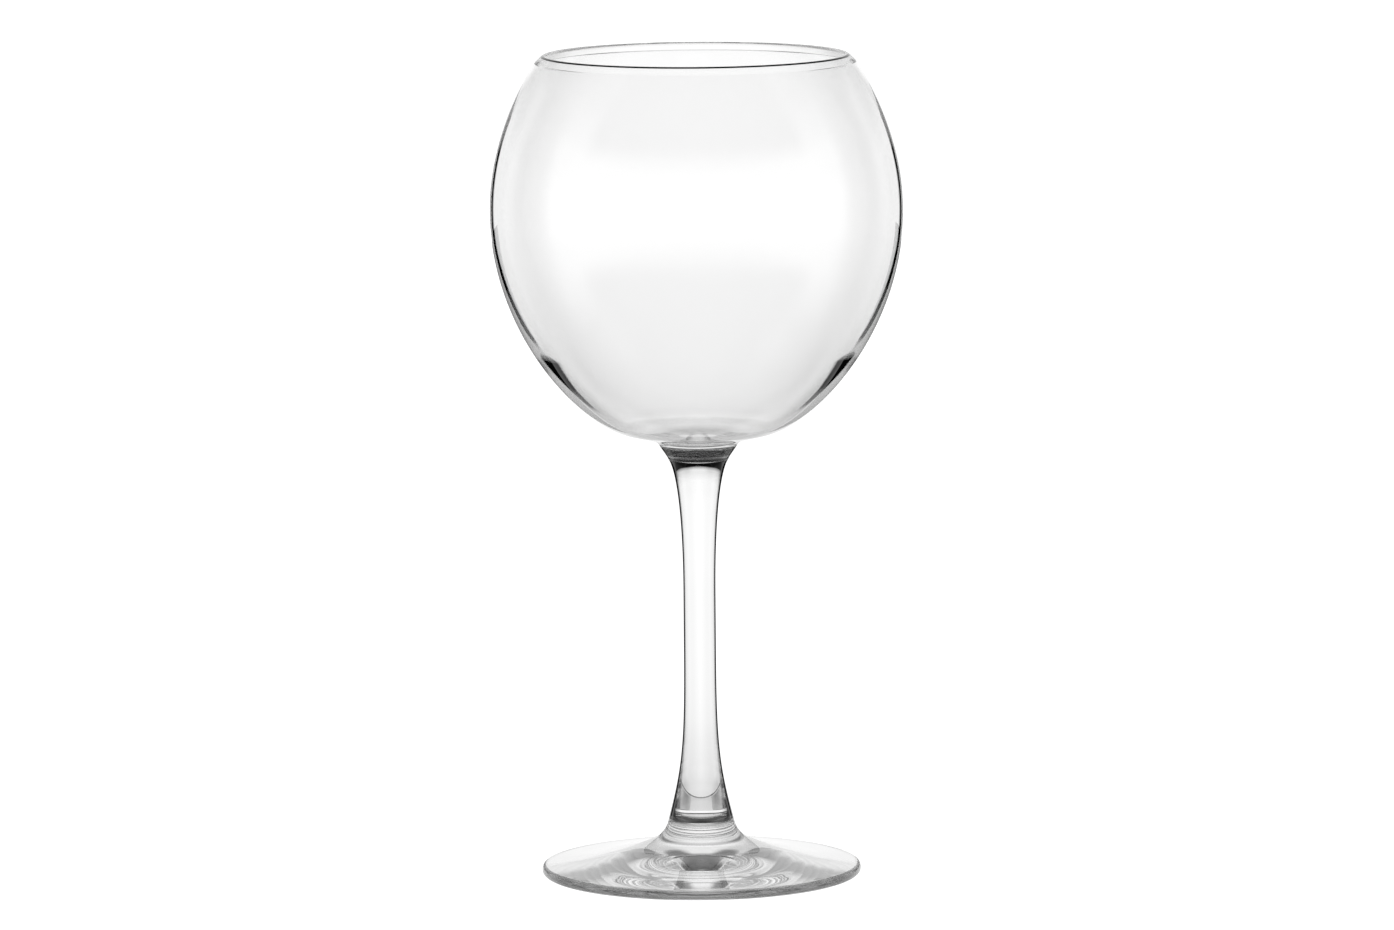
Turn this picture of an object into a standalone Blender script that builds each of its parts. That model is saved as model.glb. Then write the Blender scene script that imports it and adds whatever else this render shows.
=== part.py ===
"""Stemmed balloon wine glass: bowl, stem and foot, three turned glass pieces welded end to end.

Metres, +Z up. The origin is the middle of the circle that the foot rests on.
A profile point is (radius, height). A pull point is where a curve is drawn towards, without touching it.
"""

import math

import bmesh
import bpy
from mathutils import Vector
from mathutils.geometry import interpolate_bezier

# Heights above the table
RIM_HEIGHT = 0.2251
WIDEST_HEIGHT = 0.1829
INNER_FLOOR_HEIGHT = 0.1208
UPPER_WELD_HEIGHT = 0.1145
STEM_WAIST_TOP = 0.0780
STEM_WAIST_BOTTOM = 0.0620
LOWER_WELD_HEIGHT = 0.0145
FOOT_EDGE_THICKNESS = 0.0029
UNDERSIDE_HOLLOW = 0.0012

# Radii
RIM_RADIUS = 0.0412
WIDEST_RADIUS = 0.0562
UPPER_WELD_RADIUS = 0.0082
STEM_WAIST_RADIUS = 0.0044
LOWER_WELD_RADIUS = 0.0091
FOOT_RADIUS = 0.0437
REST_OUTER_RADIUS = 0.0418
REST_INNER_RADIUS = 0.0340

# Glass thickness
LIP_THICKNESS = 0.0013
WALL_THICKNESS = 0.0012

# The solids stay this far apart at a weld, half of it on each side
WELD_GAP = 0.0003

# Bowl, inside: flat floor, the turn into the wall, straight past the widest circle, in to the lip
FLOOR_PULL = (0.0090, INNER_FLOOR_HEIGHT)
TURN_PULL_BELOW = (0.0179, 0.1215)
TURN = (0.0247, 0.1258)
TURN_PULL_ABOVE = (0.0373, 0.1337)
INNER_WIDEST = (WIDEST_RADIUS - WALL_THICKNESS, WIDEST_HEIGHT)
INNER_PULL_BELOW = (INNER_WIDEST[0], 0.1562)
INNER_PULL_ABOVE = (INNER_WIDEST[0], 0.2040)
LIP_PULL_BELOW = (0.0448, 0.2190)
LIP_INSIDE = (RIM_RADIUS - 0.5 * LIP_THICKNESS, RIM_HEIGHT - 0.6 * LIP_THICKNESS)

# Bowl, outside: rounded rim, the shoulder that turns it inwards, the wall, the underbowl and the neck
RIM_TOP = (RIM_RADIUS, RIM_HEIGHT)
RIM_PULL_INSIDE = (LIP_INSIDE[0] - 0.0002, RIM_HEIGHT)
RIM_PULL_TOP = (RIM_RADIUS - 0.0002, RIM_HEIGHT)
RIM_PULL_OUTSIDE = (0.0422, RIM_HEIGHT)
SHOULDER_PULL_ABOVE = (0.0431, 0.2238)
SHOULDER = (0.0437, 0.2230)
SHOULDER_PULL_BELOW = (0.0444, 0.2223)
WIDEST_PULL_ABOVE = (WIDEST_RADIUS, 0.2048)
WIDEST = (WIDEST_RADIUS, WIDEST_HEIGHT)
WIDEST_PULL_BELOW = (WIDEST_RADIUS, 0.1506)
UNDERBOWL_PULL_ABOVE = (0.0335, 0.1255)
UNDERBOWL = (0.0206, 0.1218)
UNDERBOWL_PULL_INSIDE = (0.0152, 0.1204)
NECK_PULL_ABOVE = (0.0115, 0.1199)
NECK_TOP = (0.0108, 0.1185)
NECK_PULL_BELOW = (0.0102, 0.1175)
UPPER_WELD_PULL = (0.0087, 0.1156)

# Stem: flared at both welds, with a straight waist between
TOP_FLARE_PULL = (0.0063, 0.1110)
WAIST_TOP_PULL = (STEM_WAIST_RADIUS, 0.0980)
WAIST_TOP = (STEM_WAIST_RADIUS, STEM_WAIST_TOP)
WAIST_BOTTOM = (STEM_WAIST_RADIUS, STEM_WAIST_BOTTOM)
WAIST_BOTTOM_PULL = (STEM_WAIST_RADIUS, 0.0360)
BOTTOM_FLARE_PULL = (0.0050, 0.0300)

# Foot: boss, hollow slope, rounded edge, resting ring and raised middle of the underside
BOSS_PULL_ABOVE = (0.0095, 0.0128)
BOSS_PULL_BELOW = (0.0105, 0.0114)
BOSS_EDGE = (0.0118, 0.0104)
SLOPE_PULL_INSIDE = (0.0150, 0.0078)
SLOPE_PULL_OUTSIDE = (0.0280, 0.0041)
EDGE_TOP = (FOOT_RADIUS - 0.0012, FOOT_EDGE_THICKNESS)
EDGE_PULL_TOP = (FOOT_RADIUS - 0.0003, FOOT_EDGE_THICKNESS)
EDGE_PULL_ABOVE = (FOOT_RADIUS, 0.0022)
EDGE = (FOOT_RADIUS, 0.5 * FOOT_EDGE_THICKNESS)
EDGE_PULL_BELOW = (FOOT_RADIUS, 0.0006)
EDGE_PULL_BOTTOM = (FOOT_RADIUS - 0.0007, 0.0)
REST_OUTER = (REST_OUTER_RADIUS, 0.0)
REST_INNER = (REST_INNER_RADIUS, 0.0)
REST_PULL = (0.0260, 0.0002)
HOLLOW_PULL = (0.0120, UNDERSIDE_HOLLOW)
HOLLOW_MIDDLE = (0.0, UNDERSIDE_HOLLOW)

# Sides of every turned piece, and how close two points are to be one
TURN_STEPS = 40
MERGE_DISTANCE = 0.00001

GLASS_COLOUR = (0.93, 0.95, 0.95, 1.0)
GLASS_ROUGHNESS = 0.02
GLASS_IOR = 1.52


def clear_scene():
    for scene_object in list(bpy.data.objects):
        bpy.data.objects.remove(scene_object, do_unlink=True)


def make_glass(name):
    material = bpy.data.materials.new(name)
    material.use_nodes = True
    shader = material.node_tree.nodes["Principled BSDF"]
    shader.inputs["Base Color"].default_value = GLASS_COLOUR
    shader.inputs["Roughness"].default_value = GLASS_ROUGHNESS
    shader.inputs["Metallic"].default_value = 0.0
    shader.inputs["IOR"].default_value = GLASS_IOR
    shader.inputs["Transmission Weight"].default_value = 1.0
    return material


def curve(start, start_pull, end_pull, end, pieces):
    """Points of one cubic curve in the profile plane, from just after start up to end."""
    corners = [Vector((radius, 0.0, height)) for radius, height in (start, start_pull, end_pull, end)]
    points = interpolate_bezier(*corners, pieces + 1)
    return [(point.x, point.z) for point in points[1:]]


def turned(name, profile, collection):
    """Turn a profile about Z. It runs down the outer side, and both of its ends are on the axis."""
    outline = bmesh.new()
    corners = [outline.verts.new((radius, 0.0, height)) for radius, height in profile]
    for upper, lower in zip(corners, corners[1:]):
        outline.edges.new((upper, lower))
    mesh = bpy.data.meshes.new(name)
    outline.to_mesh(mesh)
    outline.free()
    piece = bpy.data.objects.new(name, mesh)
    collection.objects.link(piece)
    screw = piece.modifiers.new("turn", "SCREW")
    screw.axis = "Z"
    screw.angle = 2.0 * math.pi
    screw.steps = TURN_STEPS
    screw.render_steps = TURN_STEPS
    screw.use_merge_vertices = True
    screw.merge_threshold = MERGE_DISTANCE
    screw.use_smooth_shade = True
    piece.data.materials.append(make_glass(name + "_glass"))
    return piece


def bowl_inside():
    """From the middle of the inner floor up to the lip."""
    floor = (0.0, INNER_FLOOR_HEIGHT)
    base = curve(floor, FLOOR_PULL, TURN_PULL_BELOW, TURN, 5)
    rising = curve(TURN, TURN_PULL_ABOVE, INNER_PULL_BELOW, INNER_WIDEST, 10)
    closing = curve(INNER_WIDEST, INNER_PULL_ABOVE, LIP_PULL_BELOW, LIP_INSIDE, 9)
    return [floor] + base + rising + closing


def bowl_lip():
    """Over the rounded rim, and out to the shoulder that turns it inwards."""
    over = curve(LIP_INSIDE, RIM_PULL_INSIDE, RIM_PULL_TOP, RIM_TOP, 3)
    out = curve(RIM_TOP, RIM_PULL_OUTSIDE, SHOULDER_PULL_ABOVE, SHOULDER, 3)
    return over + out


def bowl_outside(weld):
    """From the shoulder over the widest circle, in under the bowl, and down the neck to the weld."""
    opening = curve(SHOULDER, SHOULDER_PULL_BELOW, WIDEST_PULL_ABOVE, WIDEST, 9)
    falling = curve(WIDEST, WIDEST_PULL_BELOW, UNDERBOWL_PULL_ABOVE, UNDERBOWL, 12)
    fillet = curve(UNDERBOWL, UNDERBOWL_PULL_INSIDE, NECK_PULL_ABOVE, NECK_TOP, 4)
    neck = curve(NECK_TOP, NECK_PULL_BELOW, UPPER_WELD_PULL, weld, 3)
    return opening + falling + fillet + neck


def make_bowl(collection):
    weld = (UPPER_WELD_RADIUS, UPPER_WELD_HEIGHT + 0.5 * WELD_GAP)
    return turned("bowl", bowl_inside() + bowl_lip() + bowl_outside(weld) + [(0.0, weld[1])], collection)


def make_stem(collection):
    top = (UPPER_WELD_RADIUS, UPPER_WELD_HEIGHT - 0.5 * WELD_GAP)
    bottom = (LOWER_WELD_RADIUS, LOWER_WELD_HEIGHT + 0.5 * WELD_GAP)
    narrowing = curve(top, TOP_FLARE_PULL, WAIST_TOP_PULL, WAIST_TOP, 8)
    widening = curve(WAIST_BOTTOM, WAIST_BOTTOM_PULL, BOTTOM_FLARE_PULL, bottom, 9)
    profile = [(0.0, top[1]), top] + narrowing + [WAIST_BOTTOM] + widening + [(0.0, bottom[1])]
    return turned("stem", profile, collection)


def make_foot(collection):
    top = (LOWER_WELD_RADIUS, LOWER_WELD_HEIGHT - 0.5 * WELD_GAP)
    boss = curve(top, BOSS_PULL_ABOVE, BOSS_PULL_BELOW, BOSS_EDGE, 3)
    slope = curve(BOSS_EDGE, SLOPE_PULL_INSIDE, SLOPE_PULL_OUTSIDE, EDGE_TOP, 8)
    upper_edge = curve(EDGE_TOP, EDGE_PULL_TOP, EDGE_PULL_ABOVE, EDGE, 3)
    lower_edge = curve(EDGE, EDGE_PULL_BELOW, EDGE_PULL_BOTTOM, REST_OUTER, 3)
    underside = curve(REST_INNER, REST_PULL, HOLLOW_PULL, HOLLOW_MIDDLE, 5)
    profile = [(0.0, top[1]), top] + boss + slope + upper_edge + lower_edge + [REST_INNER] + underside
    return turned("foot", profile, collection)


def main():
    clear_scene()
    collection = bpy.data.collections.new("wine_glass")
    bpy.context.scene.collection.children.link(collection)
    frame = bpy.data.objects.new("wine_glass_frame", None)
    collection.objects.link(frame)
    for piece in (make_bowl(collection), make_stem(collection), make_foot(collection)):
        piece.parent = frame


main()
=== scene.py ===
import math

import bmesh
import bpy
from mathutils import Matrix, Vector
from mathutils.geometry import interpolate_bezier


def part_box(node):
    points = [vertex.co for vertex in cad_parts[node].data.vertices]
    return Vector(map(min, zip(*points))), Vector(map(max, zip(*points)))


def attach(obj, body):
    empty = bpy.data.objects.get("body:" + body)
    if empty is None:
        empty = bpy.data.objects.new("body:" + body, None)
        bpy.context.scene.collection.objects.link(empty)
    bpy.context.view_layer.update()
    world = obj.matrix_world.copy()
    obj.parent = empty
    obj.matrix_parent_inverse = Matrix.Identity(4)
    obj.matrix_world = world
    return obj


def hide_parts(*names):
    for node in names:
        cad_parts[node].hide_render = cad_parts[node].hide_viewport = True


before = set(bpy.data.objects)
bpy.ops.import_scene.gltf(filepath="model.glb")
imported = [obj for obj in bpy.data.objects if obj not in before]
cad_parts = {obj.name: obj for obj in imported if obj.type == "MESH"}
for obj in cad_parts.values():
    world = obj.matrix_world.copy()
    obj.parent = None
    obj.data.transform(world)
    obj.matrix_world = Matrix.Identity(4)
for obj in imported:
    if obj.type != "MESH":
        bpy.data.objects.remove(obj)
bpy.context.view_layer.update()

print("frame loaded:", sorted(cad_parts))

mm = 0.001
spinSteps = 192     # sides of every turned piece
weldSlit = 0.01     # air left between two welded faces, in mm
sameHeight = 1e-7   # a vertex this near to the height of a weld is on it, in metres

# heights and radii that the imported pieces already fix, in mm
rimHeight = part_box("bowl")[1][2] / mm
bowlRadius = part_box("bowl")[1][0] / mm
upperWeld = (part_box("bowl")[0][2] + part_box("stem")[1][2]) / 2 / mm
lowerWeld = (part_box("stem")[0][2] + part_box("foot")[1][2]) / 2 / mm
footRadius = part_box("foot")[1][0] / mm


def addObject(name, bm):
    # turn a bmesh into an object of the scene
    mesh = bpy.data.meshes.new(name)
    bm.to_mesh(mesh)
    bm.free()
    made = bpy.data.objects.new(name, mesh)
    bpy.context.scene.collection.objects.link(made)
    return made


def curveTo(points, startHandle, endHandle, end, pieces):
    # add one round stretch to a profile, which is a list of (radius, height)
    corners = [Vector((r, 0, z)) for r, z in (points[-1], startHandle, endHandle, end)]
    points.extend((p.x, p.z) for p in interpolate_bezier(*corners, pieces + 1)[1:])


def spinPiece(name, profile, weldHeights):
    # spin a profile about Z; both of its ends are on the axis, so the piece comes out closed
    bm = bmesh.new()
    verts = [bm.verts.new((r * mm, 0, z * mm)) for r, z in profile]
    edges = [bm.edges.new(pair) for pair in zip(verts, verts[1:])]
    bmesh.ops.spin(bm, geom=verts + edges, axis=(0, 0, 1), cent=(0, 0, 0), dvec=(0, 0, 0),
                   angle=2 * math.pi, steps=spinSteps, use_merge=True, use_duplicate=False)
    bmesh.ops.remove_doubles(bm, verts=bm.verts[:], dist=1e-6)
    bmesh.ops.recalc_face_normals(bm, faces=bm.faces[:])
    for face in bm.faces:
        welded = any(all(abs(v.co.z - z * mm) < sameHeight for v in face.verts) for z in weldHeights)
        face.smooth = not welded
        face.material_index = 1 if welded else 0   # the weld faces take the second material
    piece = addObject(name, bm)
    print("made", name, len(piece.data.polygons), "faces")
    return piece


def plainMaterial(name, sockets):
    # a Principled material with constants on some of its sockets
    mat = bpy.data.materials.new(name)
    mat.use_nodes = True
    shader = mat.node_tree.nodes["Principled BSDF"]
    for socket, value in sockets.items():
        shader.inputs[socket].default_value = value
    return mat


def calculator(tree):
    # a short way to add one Math node to a node tree
    def calc(kind, a, b=None, clamp=False):
        node = tree.nodes.new("ShaderNodeMath")
        node.operation = kind
        node.use_clamp = clamp
        for socket, value in zip(node.inputs, (a, b)):
            if value is None:
                continue
            if isinstance(value, (int, float)):
                socket.default_value = value
            else:
                tree.links.new(value, socket)
        return node.outputs[0]
    return calc


def toneRamp(tree, value, stops):
    # a grey read off a list of (position from 0 to 1, tone)
    node = tree.nodes.new("ShaderNodeValToRGB")
    elements = node.color_ramp.elements
    while len(elements) < len(stops):
        elements.new(0.5)
    for element, (position, tone) in zip(elements, stops):
        element.position = position
        element.color = (tone, tone, tone, 1)
    tree.links.new(value, node.inputs["Fac"])
    return node.outputs["Color"]


def byHeight(tree, calc, height, rows, column):
    # one column of a table of rows that starts with the height in mm
    low, high = rows[0][0], rows[-1][0]
    node = tree.nodes.new("ShaderNodeFloatCurve")
    points = node.mapping.curves[0].points
    while len(points) < len(rows):
        points.new(0.5, 0.5)
    for point, row in zip(points, rows):
        point.location = ((row[0] - low) / (high - low), row[column])
        point.handle_type = "VECTOR"
    node.mapping.update()
    level = calc("DIVIDE", calc("SUBTRACT", height, low * mm), (high - low) * mm, True)
    tree.links.new(level, node.inputs["Value"])
    return node.outputs[0]


# a painted shade line is full as far as 0.85 of its half width from its middle, and gone at 1.25 of it
paintedLineEdge = {"gone": 1.25, "steepness": 2.5}


def paintedShadeLine(tree, calc, facing, height, rows):
    # painted shade: a dark line inside the outline, whose place, half width and depth change with the
    # height
    place, half, depth = (byHeight(tree, calc, height, rows, column) for column in (1, 2, 3))
    aside = calc("DIVIDE", calc("ABSOLUTE", calc("SUBTRACT", facing, place)), half)
    inPaintedLine = calc("MULTIPLY", calc("SUBTRACT", paintedLineEdge["gone"], aside), paintedLineEdge["steepness"], True)
    return calc("MULTIPLY", depth, inPaintedLine)


def noise(tree, vector, scale, detail):
    node = tree.nodes.new("ShaderNodeTexNoise")
    node.inputs["Scale"].default_value = scale
    node.inputs["Detail"].default_value = detail
    tree.links.new(vector, node.inputs["Vector"])
    return node.outputs["Fac"]


def radiusOf(calc, x, y):
    return calc("SQRT", calc("ADD", calc("MULTIPLY", x, x), calc("MULTIPLY", y, y)))


def addPaintedShade(tree, calc, paintedShadeColour, dark):
    # painted shade: only light that comes in through the skin is darkened, so painted shade on the far
    # side is not seen twice
    side = tree.nodes.new("ShaderNodeNewGeometry")
    paintedShadeMix = tree.nodes.new("ShaderNodeMix")
    paintedShadeMix.data_type = "RGBA"
    nearSide = calc("SUBTRACT", 1.0, side.outputs["Backfacing"])
    tree.links.new(calc("MULTIPLY", dark, nearSide), paintedShadeMix.inputs[0])
    tree.links.new(paintedShadeColour, paintedShadeMix.inputs[6])
    paintedShadeMix.inputs[7].default_value = (0, 0, 0, 1)
    return paintedShadeMix.outputs[2]


# what every glass here shares; smudges are where the noise is above its lower limit
smudges = {"from": 0.45, "full": 0.8, "scale": 60.0, "detail": 4.0, "rough": 0.03}


def glassBase(name, look, paintedShadeSpot=None):
    # clear glass with painted shade that darkens its colour towards its outline, and a painted shade line
    # inside the outline if the look has one; a given spot may paint shade on one more place
    mat = plainMaterial(name, {"IOR": look["ior"], "Transmission Weight": 1.0})
    tree = mat.node_tree
    calc = calculator(tree)
    shader = tree.nodes["Principled BSDF"]
    place = tree.nodes.new("ShaderNodeTexCoord").outputs["Object"]
    split = tree.nodes.new("ShaderNodeSeparateXYZ")
    tree.links.new(place, split.inputs[0])
    x, y, z = split.outputs

    graze = tree.nodes.new("ShaderNodeLayerWeight")
    graze.inputs["Blend"].default_value = 0.5
    facing = graze.outputs["Facing"]
    # painted shade: the glass's colour grows darker towards its outline, read off by facing
    paintedShadeColour = toneRamp(tree, facing, look["shade"])
    paintedShadePlaces = []
    if "line" in look:
        paintedShadePlaces.append(paintedShadeLine(tree, calc, facing, z, look["line"]))
    if paintedShadeSpot:
        paintedShadePlaces.append(paintedShadeSpot(calc, x, y, z))
    if paintedShadePlaces:
        paintedShadeColour = addPaintedShade(tree, calc, paintedShadeColour, calc("MAXIMUM", paintedShadePlaces[0], paintedShadePlaces[-1]))
    tree.links.new(paintedShadeColour, shader.inputs["Base Color"])

    polish = tree.nodes.new("ShaderNodeMapRange")
    polish.inputs["From Min"].default_value = smudges["from"]
    polish.inputs["From Max"].default_value = smudges["full"]
    polish.inputs["To Min"].default_value = 0.0
    polish.inputs["To Max"].default_value = smudges["rough"]
    tree.links.new(noise(tree, place, smudges["scale"], smudges["detail"]), polish.inputs["Value"])
    tree.links.new(polish.outputs[0], shader.inputs["Roughness"])
    return mat, place, shader


def addRipple(mat, shader, texture, height):
    # a shallow bump, with its height in mm
    bump = mat.node_tree.nodes.new("ShaderNodeBump")
    bump.inputs["Strength"].default_value = 1.0
    bump.inputs["Distance"].default_value = height * mm
    mat.node_tree.links.new(texture, bump.inputs["Height"])
    mat.node_tree.links.new(bump.outputs["Normal"], shader.inputs["Normal"])


def weldGlass():
    # the two glasses are one where they are welded, so this face is seen through
    return plainMaterial("weldGlass", {"Alpha": 0.0})


bowlSize = {
    "rim": 41.2, "lip": 1.0, "wall": 1.2, "shoulder": 43.7, "shoulderDrop": 2.1, "lipInside": 0.3,
    "widestHeight": 182.9, "floorHeight": 120.8, "turn": (24.7, 125.8),
    "underbowl": (20.6, 121.8), "neckTop": (10.8, 118.5), "weld": 8.2,
}

# a row of "line" is height, where the painted shade line lies (0 head on, 1 on the outline), half its
# width, depth
bowlLook = {
    "ior": 1.52,
    # painted shade: the glass's colour by facing, from head on (0) to the outline (1)
    "shade": ((0.0, 1.0), (0.3, 0.98), (0.55, 0.9), (0.72, 0.8), (0.8, 0.74), (0.9, 0.85), (1.0, 0.95)),
    "line": (
        # painted shade at the neck, under and over the weld
        (114.3, 0.5, 1.0, 0.95), (115.4, 0.5, 1.0, 0.95), (115.5, 0.5, 1.0, 0.1), (115.8, 0.5, 1.0, 0.1),
        (116.0, 0.5, 1.0, 0.95), (117.9, 0.5, 1.0, 0.95), (118.2, 0.5, 1.0, 0.0),
        # painted shade of the dark wedge low on the bowl
        (129.5, 0.7, 0.015, 0.0), (131.5, 0.7, 0.02, 0.9), (136, 0.7, 0.035, 1.0), (141, 0.7, 0.07, 1.0),
        (144, 0.7, 0.09, 1.0), (145.3, 0.71, 0.06, 0.8), (146.2, 0.72, 0.02, 0.0),
        # painted shade line up the side
        (147.5, 0.725, 0.015, 0.3), (149.5, 0.735, 0.03, 0.9), (153, 0.76, 0.035, 0.95),
        (163, 0.8, 0.035, 1.0), (175, 0.835, 0.033, 1.0), (200, 0.835, 0.033, 1.0),
        (212, 0.835, 0.04, 0.6), (220, 0.835, 0.04, 0.0), (225.1, 0.835, 0.04, 0.0),
    ),
    # where the painted shade ring on the lip lies: inner and outer radius and lowest height, in mm
    "lipFrom": 41.35, "lipTo": 42.0, "lipAbove": 224.4,
    "rippleScale": 28.0, "rippleHeight": 0.004,
}

# the lip bends light less than the wall, or its far side would look black
lipLook = dict(bowlLook, ior=1.2)

insideLook = {
    "ior": 1.52,
    # painted shade: the glass's colour by facing, from head on (0) to the outline (1)
    "shade": ((0.0, 1.0), (0.6, 1.0), (1.0, 0.94)),
    "rippleScale": 34.0, "rippleHeight": 0.004,
}


def ripplingGlass(name, look, paintedShadeSpot=None):
    mat, place, shader = glassBase(name, look, paintedShadeSpot)
    addRipple(mat, shader, noise(mat.node_tree, place, look["rippleScale"], 1.0), look["rippleHeight"])
    return mat


def blownGlass(name, look):
    def paintedLipShade(calc, x, y, z):
        # painted shade: a thin dark ring on the outer corner of the lip
        radius = radiusOf(calc, x, y)
        inside = calc("MULTIPLY", calc("GREATER_THAN", radius, look["lipFrom"] * mm),
                      calc("LESS_THAN", radius, look["lipTo"] * mm))
        return calc("MULTIPLY", inside, calc("GREATER_THAN", z, look["lipAbove"] * mm))

    return ripplingGlass(name, look, paintedLipShade)


def bowlProfile(s):
    lip = (s["rim"] - 0.5 * s["lip"], rimHeight - 0.6 * s["lip"])
    inner = bowlRadius - s["wall"]
    shoulder = (s["shoulder"], rimHeight - s["shoulderDrop"])
    weld = upperWeld + weldSlit
    profile = [(0, s["floorHeight"])]
    # inside: floor, wall, shoulder
    curveTo(profile, (9.0, s["floorHeight"]), (17.9, 121.5), s["turn"], 24)
    curveTo(profile, (37.3, 133.7), (inner, 156.2), (inner, s["widestHeight"]), 56)
    curveTo(profile, (inner, 204.0), (44.8, 219.0), lip, 40)
    # over the lip
    curveTo(profile, (lip[0] - 0.2, rimHeight), (s["rim"] - 0.2, rimHeight), (s["rim"], rimHeight), 10)
    curveTo(profile, (41.7, rimHeight), (42.4, 224.4), shoulder, 10)
    # outside: shoulder, wall, underside, neck
    curveTo(profile, (44.4, 222.3), (bowlRadius, 204.8), (bowlRadius, s["widestHeight"]), 40)
    curveTo(profile, (bowlRadius, 150.6), (33.5, 125.5), s["underbowl"], 64)
    curveTo(profile, (15.2, 120.4), (11.5, 119.9), s["neckTop"], 16)
    curveTo(profile, (10.2, 117.5), (8.7, 115.6), (s["weld"], weld), 12)
    profile.append((0, weld))
    return profile, weld


def makeBowl(s):
    profile, weld = bowlProfile(s)
    bowl = spinPiece("blownBowl", profile, [weld])
    for mat in (blownGlass("blownGlass", bowlLook), weldGlass(), ripplingGlass("insideGlass", insideLook),
                blownGlass("lipGlass", lipLook)):
        bowl.data.materials.append(mat)
    inside, lip = 2, 3    # places in the list of materials
    outerLip = rimHeight - s["shoulderDrop"]
    for face in bowl.data.polygons:
        if face.normal.x * face.center.x + face.normal.y * face.center.y < 0:
            face.material_index = inside
        lipStart = outerLip - (s["lipInside"] if face.material_index == inside else 0)
        if face.center.z > lipStart * mm:
            face.material_index = lip
    return bowl


stemSize = {"waist": 4.4, "waistTop": 78.0, "waistBottom": 62.0, "foot": 9.1}

stemLook = {
    "ior": 1.52,
    # painted shade: the glass's colour by facing, from head on (0) to the outline (1)
    "shade": ((0.0, 1.0), (0.5, 1.0), (1.0, 0.95)),
    "line": (
        # painted shade line on the lower flare
        (14.0, 1.0, 0.9, 0.8), (15.4, 1.0, 0.9, 0.8), (16.2, 1.0, 0.7, 1.0), (18, 1.0, 0.6, 1.0),
        (21, 1.0, 0.5, 1.0), (30, 0.92, 0.32, 1.0),
        # painted shade line on the waist
        (45, 0.82, 0.24, 1.0), (100, 0.82, 0.24, 1.0),
        # painted shade at the corners under the upper weld
        (108, 0.9, 0.3, 1.0), (111.5, 1.0, 0.5, 1.0), (112.6, 1.0, 0.75, 1.0), (113.4, 1.0, 1.0, 1.0),
        (114.6, 1.0, 1.0, 1.0),
    ),
    "drawScale": 300.0, "drawHeight": 0.002, "drawStretch": 0.05,
}


def drawnGlass(look):
    mat, place, shader = glassBase("drawnGlass", look)
    tree = mat.node_tree
    squash = tree.nodes.new("ShaderNodeMapping")
    squash.inputs["Scale"].default_value = (1.0, 1.0, look["drawStretch"])    # long streaks down the stem
    tree.links.new(place, squash.inputs["Vector"])
    streaks = noise(tree, squash.outputs["Vector"], look["drawScale"], 1.0)
    addRipple(mat, shader, streaks, look["drawHeight"])
    return mat


def makeStem(s, b):
    top = upperWeld - weldSlit
    low = lowerWeld + weldSlit
    profile = [(0, top), (b["weld"], top)]
    # upper flare, waist, lower flare
    curveTo(profile, (6.0, 111.2), (s["waist"], 98.5), (s["waist"], s["waistTop"]), 48)
    curveTo(profile, (s["waist"], 72.0), (s["waist"], 68.0), (s["waist"], s["waistBottom"]), 4)
    curveTo(profile, (s["waist"], 36.0), (5.0, 30.0), (s["foot"], low), 48)
    profile.append((0, low))
    stem = spinPiece("drawnStem", profile, [top, low])
    stem.data.materials.append(drawnGlass(stemLook))
    stem.data.materials.append(weldGlass())
    return stem


footSize = {
    "edge": 2.9, "shoulder": (11.8, 10.4), "restOuter": 41.8, "restInner": 34.0, "hollow": 1.2,
}

footLook = {
    "ior": 1.52,
    # painted shade: the glass's colour by facing, from head on (0) to the outline (1)
    "shade": ((0.0, 1.0), (0.5, 0.97), (1.0, 0.95)),
    # painted shade on the foot's rounded edge: it grows from one radius to the other, in mm, up to this
    # depth
    "edgeFrom": 42.6, "edgeTo": 43.5, "edgeShadeDepth": 0.85,
    "ringScale": 60.0, "ringHeight": 0.003, "ringWobble": 1.5,
}


def pressedGlass(look):
    def paintedFootRimShade(calc, x, y, z):
        # painted shade, darker out towards the foot's edge
        rise = calc("DIVIDE", calc("SUBTRACT", radiusOf(calc, x, y), look["edgeFrom"] * mm),
                    (look["edgeTo"] - look["edgeFrom"]) * mm, True)
        return calc("MULTIPLY", rise, look["edgeShadeDepth"])

    mat, place, shader = glassBase("pressedGlass", look, paintedFootRimShade)
    rings = mat.node_tree.nodes.new("ShaderNodeTexWave")
    rings.wave_type = "RINGS"
    rings.rings_direction = "Z"
    rings.inputs["Scale"].default_value = look["ringScale"]
    rings.inputs["Distortion"].default_value = look["ringWobble"]
    rings.inputs["Detail"].default_value = 1.0
    mat.node_tree.links.new(place, rings.inputs["Vector"])
    addRipple(mat, shader, rings.outputs["Fac"], look["ringHeight"])
    return mat


def makeFoot(s, t):
    top = lowerWeld - weldSlit
    profile = [(0, top), (t["foot"], top)]
    # boss, upper face, rounded edge
    curveTo(profile, (9.5, 12.8), (10.5, 11.4), s["shoulder"], 12)
    curveTo(profile, (15.0, 7.8), (28.0, 4.1), (footRadius - 1.2, s["edge"]), 40)
    curveTo(profile, (footRadius - 0.3, 2.9), (footRadius, 2.2), (footRadius, 0.5 * s["edge"]), 10)
    curveTo(profile, (footRadius, 0.6), (footRadius - 0.7, 0), (s["restOuter"], 0), 10)
    # flat ring that it rests on, and the hollow inside it
    profile.append((s["restInner"], 0))
    curveTo(profile, (26.0, 0.2), (12.0, s["hollow"]), (0, s["hollow"]), 24)
    foot = spinPiece("pressedFoot", profile, [top])
    foot.data.materials.append(pressedGlass(footLook))
    foot.data.materials.append(weldGlass())
    return foot


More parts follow.
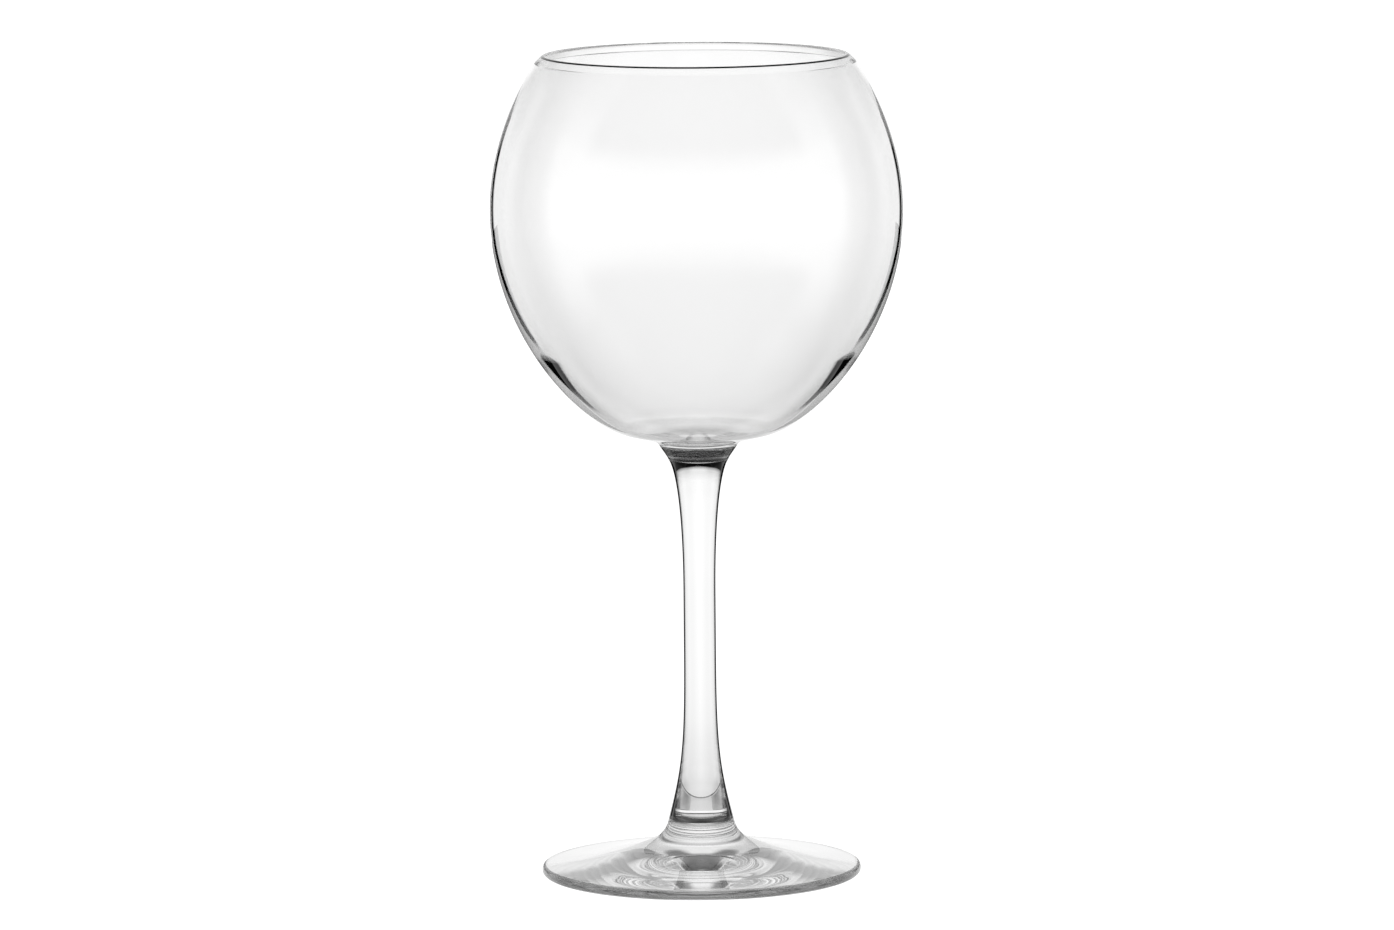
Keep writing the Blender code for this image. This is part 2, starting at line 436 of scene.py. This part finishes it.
tableSize = {"radius": 900.0, "sides": 96, "below": 0.2, "glow": 1.2}


def makeTable(s):
    # a light table that only the camera sees; the light it would give the glass is in the world
    bm = bmesh.new()
    bmesh.ops.create_circle(bm, cap_ends=True, segments=s["sides"], radius=s["radius"] * mm)
    bmesh.ops.translate(bm, verts=bm.verts[:], vec=(0, 0, -s["below"] * mm))
    table = addObject("lightTable", bm)
    table.data.materials.append(plainMaterial("litTable", {
        "Base Color": (0, 0, 0, 1), "Specular IOR Level": 0,
        "Emission Color": (1, 1, 1, 1), "Emission Strength": s["glow"],
    }))
    table.visible_glossy = False
    table.visible_transmission = False
    print("table laid")


# the room as the glass sees it: brightness by elevation, times brightness by the turn away from +Y, with
# patches laid over both; a patch is (from turn, to turn, lowest, highest, brightness)
studio = {
    "seen": 1.2, "soft": 9.0,
    "heights": ((-90, 0.0), (-64, 0.1), (-56, 0.62), (-33, 0.66), (-20, 0.86), (-11, 0.96), (-8.6, 1.0),
                (-7, 1.02), (5, 1.05), (12, 0.8), (20, 0.7), (28, 0.4), (50, 0.3), (70, 0.05), (90, 0.0)),
    "turns": ((0, 1.05), (9, 1.0), (16, 0.96), (24, 0.95), (30, 0.97), (48, 0.9), (58, 0.4), (80, 0.4),
              (90, 0.85), (105, 0.9), (130, 0.8), (180, 0.75)),
    "patches": (
        (-9, 12, 8, 44, 0.92),       # top of the backdrop
        (16, 110, 25, 46, 0.2),      # dim ceiling to the sides
        (110, 189, 24, 99, 0.1),     # dark ceiling over the camera
        (110, 189, -70, -24, 0.06),  # dark floor under the camera
        (50, 110, -70, -38, 0.12),   # dark floor to the sides
        (22, 40, -42, -28, 0.25),    # shaded foot of the backdrop
    ),
}


def makeWorld(s):
    world = bpy.data.worlds.new("studio")
    bpy.context.scene.world = world
    world.use_nodes = True
    tree = world.node_tree
    nodes, links = tree.nodes, tree.links
    nodes.clear()
    calc = calculator(tree)

    def byDegrees(value, lowest, highest, stops):
        # brightness read off a list of (degrees, brightness)
        span = highest - lowest
        level = calc("DIVIDE", calc("SUBTRACT", value, lowest), span)
        return toneRamp(tree, level, [((degrees - lowest) / span, tone) for degrees, tone in stops])

    def between(value, lowest, highest):
        # 1 between two limits and 0 outside them, with soft ends
        rise = calc("DIVIDE", calc("SUBTRACT", value, lowest - s["soft"] / 2), s["soft"], True)
        fall = calc("DIVIDE", calc("SUBTRACT", highest + s["soft"] / 2, value), s["soft"], True)
        return calc("MULTIPLY", rise, fall)

    coords = nodes.new("ShaderNodeTexCoord")
    split = nodes.new("ShaderNodeSeparateXYZ")
    links.new(coords.outputs["Generated"], split.inputs[0])
    x, y, z = split.outputs
    elevation = calc("DEGREES", calc("ARCSINE", z))
    turn = calc("ABSOLUTE", calc("DEGREES", calc("ARCTAN2", x, y)))
    light = calc("MULTIPLY", byDegrees(elevation, -90, 90, s["heights"]),
                 byDegrees(turn, 0, 180, s["turns"]))
    for fromTurn, toTurn, lowest, highest, brightness in s["patches"]:
        share = calc("MULTIPLY", between(turn, fromTurn, toTurn), between(elevation, lowest, highest))
        kept = calc("MULTIPLY", light, calc("SUBTRACT", 1.0, share))
        light = calc("ADD", kept, calc("MULTIPLY", share, brightness))

    path = nodes.new("ShaderNodeLightPath")
    seen = calc("MAXIMUM", calc("MULTIPLY", path.outputs["Is Camera Ray"], s["seen"]), light)
    background = nodes.new("ShaderNodeBackground")
    background.inputs["Color"].default_value = (1, 1, 1, 1)
    links.new(seen, background.inputs["Strength"])
    output = nodes.new("ShaderNodeOutputWorld")
    links.new(background.outputs[0], output.inputs[0])
    print("studio lit")


# black boards stand behind the glass on both sides; only its mirrored light finds them, and they draw
# its edges; a board is (inner side, outer side, foot, top), in mm, for the right-hand side
boardSize = {"behind": 200.0, "boards": {"low": (58, 190, 5, 150), "high": (92, 140, 112, 222)}}


def makeBoards(s):
    mat = plainMaterial("blackCard", {
        "Base Color": (0.01, 0.01, 0.01, 1), "Roughness": 1.0, "Specular IOR Level": 0,
    })
    for board, (inner, outer, low, high) in s["boards"].items():
        for side, sign in (("Left", -1), ("Right", 1)):
            bm = bmesh.new()
            bmesh.ops.create_cube(bm, size=mm)
            bmesh.ops.scale(bm, verts=bm.verts[:], vec=(outer - inner, 1, high - low))
            place = Vector((sign * (inner + outer) / 2, s["behind"], (high + low) / 2)) * mm
            bmesh.ops.translate(bm, verts=bm.verts[:], vec=place)
            card = addObject(board + "Board" + side, bm)
            card.data.materials.append(mat)
            card.visible_camera = False
            card.visible_transmission = False
            card.visible_shadow = False
    print("boards stood")


# the lens is long and stands a little above the glass, tilted down; metres, degrees and mm of lens
cameraPlace = {
    "distance": 2.2902, "height": 0.4157, "sideways": -0.0004,
    "tilt": 7.534, "roll": 0.46, "focal": 218.8,
}


def makeCamera(c):
    cam = bpy.data.cameras.new("camera")
    cam.lens = c["focal"]
    cam.sensor_width = 36.0
    cam.clip_start = 0.05
    cam.clip_end = 50.0
    camera = bpy.data.objects.new("camera", cam)
    bpy.context.scene.collection.objects.link(camera)
    camera.matrix_world = (Matrix.Translation((c["sideways"], -c["distance"], c["height"]))
                           @ Matrix.Rotation(math.radians(90 - c["tilt"]), 4, "X")
                           @ Matrix.Rotation(math.radians(-c["roll"]), 4, "Z"))
    bpy.context.scene.camera = camera
    print("camera placed")


def setUpRender(glassBounces, seeThroughBounces):
    # light runs a long way inside a glass wall, so it needs many bounces
    scene = bpy.context.scene
    scene.view_settings.view_transform = "Standard"
    scene.cycles.max_bounces = glassBounces
    scene.cycles.transmission_bounces = glassBounces
    scene.cycles.glossy_bounces = glassBounces
    scene.cycles.transparent_max_bounces = seeThroughBounces
    scene.cycles.caustics_reflective = True
    scene.cycles.caustics_refractive = True
    scene.cycles.use_denoising = True
    print("render set up")


makeCamera(cameraPlace)
makeTable(tableSize)
makeBoards(boardSize)
makeWorld(studio)
bowl = makeBowl(bowlSize)
stem = makeStem(stemSize, bowlSize)
foot = makeFoot(footSize, stemSize)
for piece, node, slot in ((bowl, "bowl", "bowl_glass"), (stem, "stem", "stem_glass"),
                          (foot, "foot", "foot_glass")):
    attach(piece, "root")
    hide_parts(node)
setUpRender(glassBounces=200, seeThroughBounces=48)
